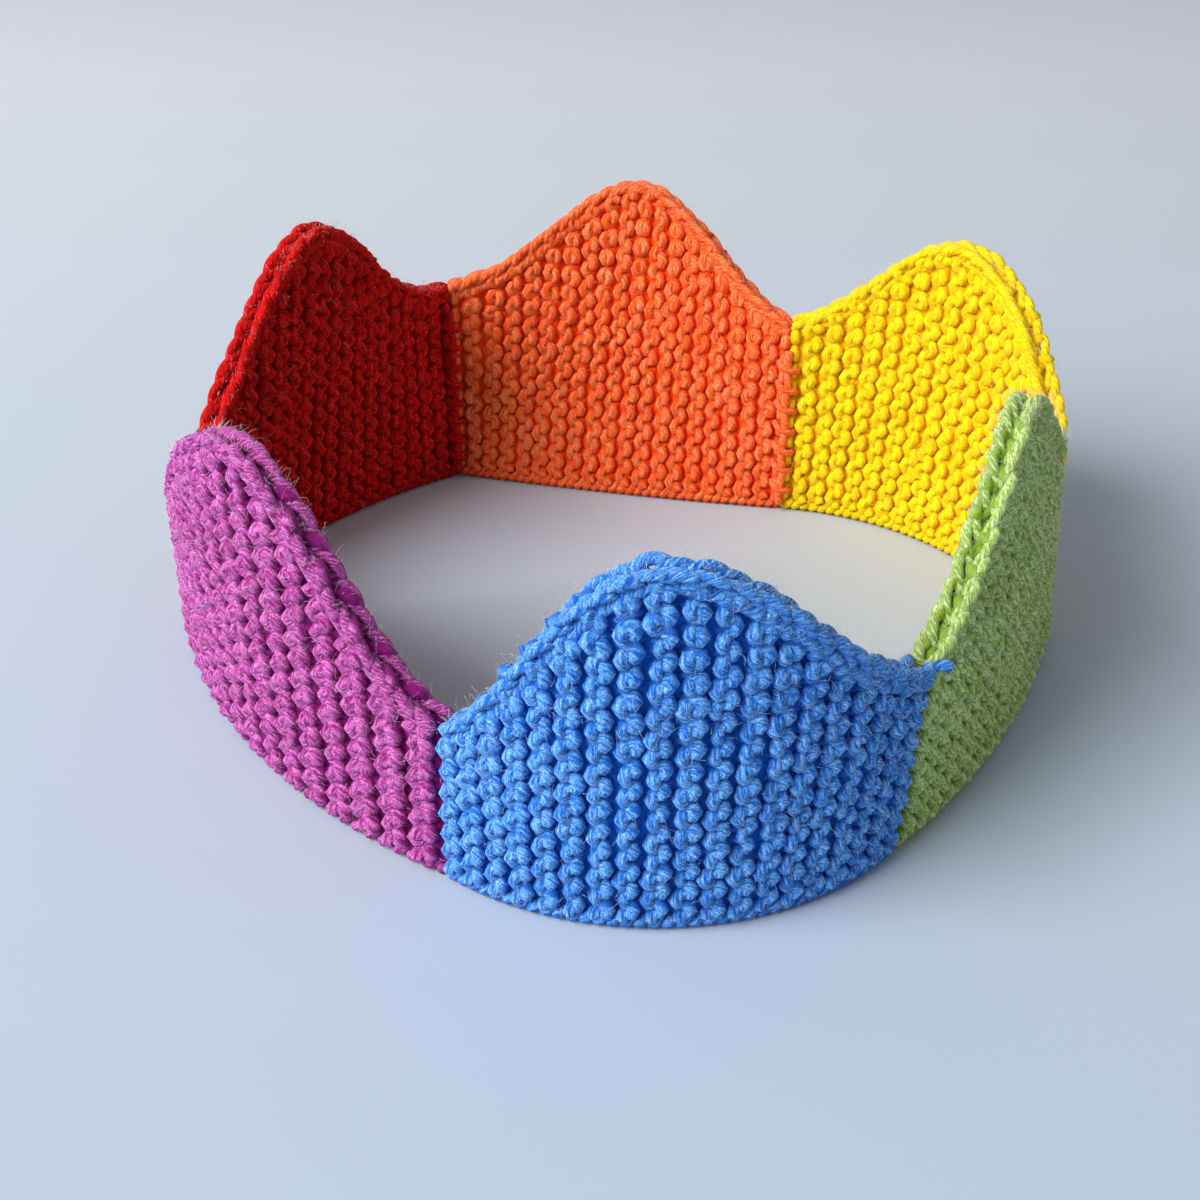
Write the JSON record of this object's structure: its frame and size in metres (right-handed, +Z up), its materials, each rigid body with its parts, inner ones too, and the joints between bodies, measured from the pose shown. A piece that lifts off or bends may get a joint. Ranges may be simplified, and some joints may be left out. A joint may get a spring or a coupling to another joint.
{
  "type": "knitted crown",
  "caption": "Soft party crown of garter stitch yarn panels in rainbow colours, sewn side by side into a ring with a pointed, rounded top.",
  "frame": {"origin": "centre of the ring's outline seen from above, on the table that it stands on", "axes": "+Z up through the ring, +Y from the blue front to the orange back, +X to the right of someone who looks at the blue front"},
  "size_m": [0.1716, 0.1752, 0.0725],
  "materials": {
    "blue_yarn": "soft matte wool-like yarn",
    "green_yarn": "soft matte wool-like yarn",
    "yellow_yarn": "soft matte wool-like yarn",
    "orange_yarn": "soft matte wool-like yarn",
    "red_yarn": "soft matte wool-like yarn",
    "purple_yarn": "soft matte wool-like yarn"
  },
  "bodies": {
    "root": {"panel_blue": "blue_yarn", "panel_green": "green_yarn", "panel_yellow": "yellow_yarn", "panel_orange": "orange_yarn", "panel_red": "red_yarn", "panel_purple": "purple_yarn", "seam_purple_blue": "purple_yarn", "seam_blue_green": "blue_yarn", "seam_green_yellow": "yellow_yarn", "seam_yellow_orange": "orange_yarn", "seam_orange_red": "red_yarn", "seam_red_purple": "red_yarn"}
  },
  "joints": []
}
